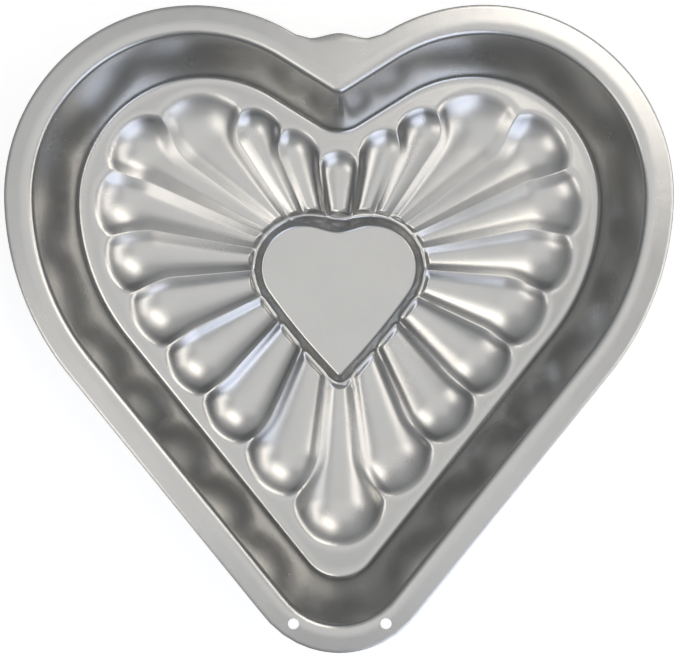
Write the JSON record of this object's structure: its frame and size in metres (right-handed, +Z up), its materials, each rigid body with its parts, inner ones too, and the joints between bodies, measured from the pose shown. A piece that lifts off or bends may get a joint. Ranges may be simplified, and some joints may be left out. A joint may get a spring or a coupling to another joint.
{
  "type": "heart cake pan",
  "caption": "Heart-shaped cake pan drawn from one aluminium sheet, with a flat rim, a leaning wall, a fluted petal floor around a sunk heart and hanging holes in the rim.",
  "frame": {"origin": "on the table, under the middle of the box around the rim", "axes": "+Z up out of the mouth; +Y towards the notch between the two lobes, so the tip with the hanging holes points to -Y; +X to the right, looking down into the pan with the tip nearest"},
  "size_m": [0.3, 0.2916, 0.0515],
  "materials": {
    "sheet": "satin"
  },
  "bodies": {
    "root": {"pan": "sheet"}
  },
  "joints": []
}
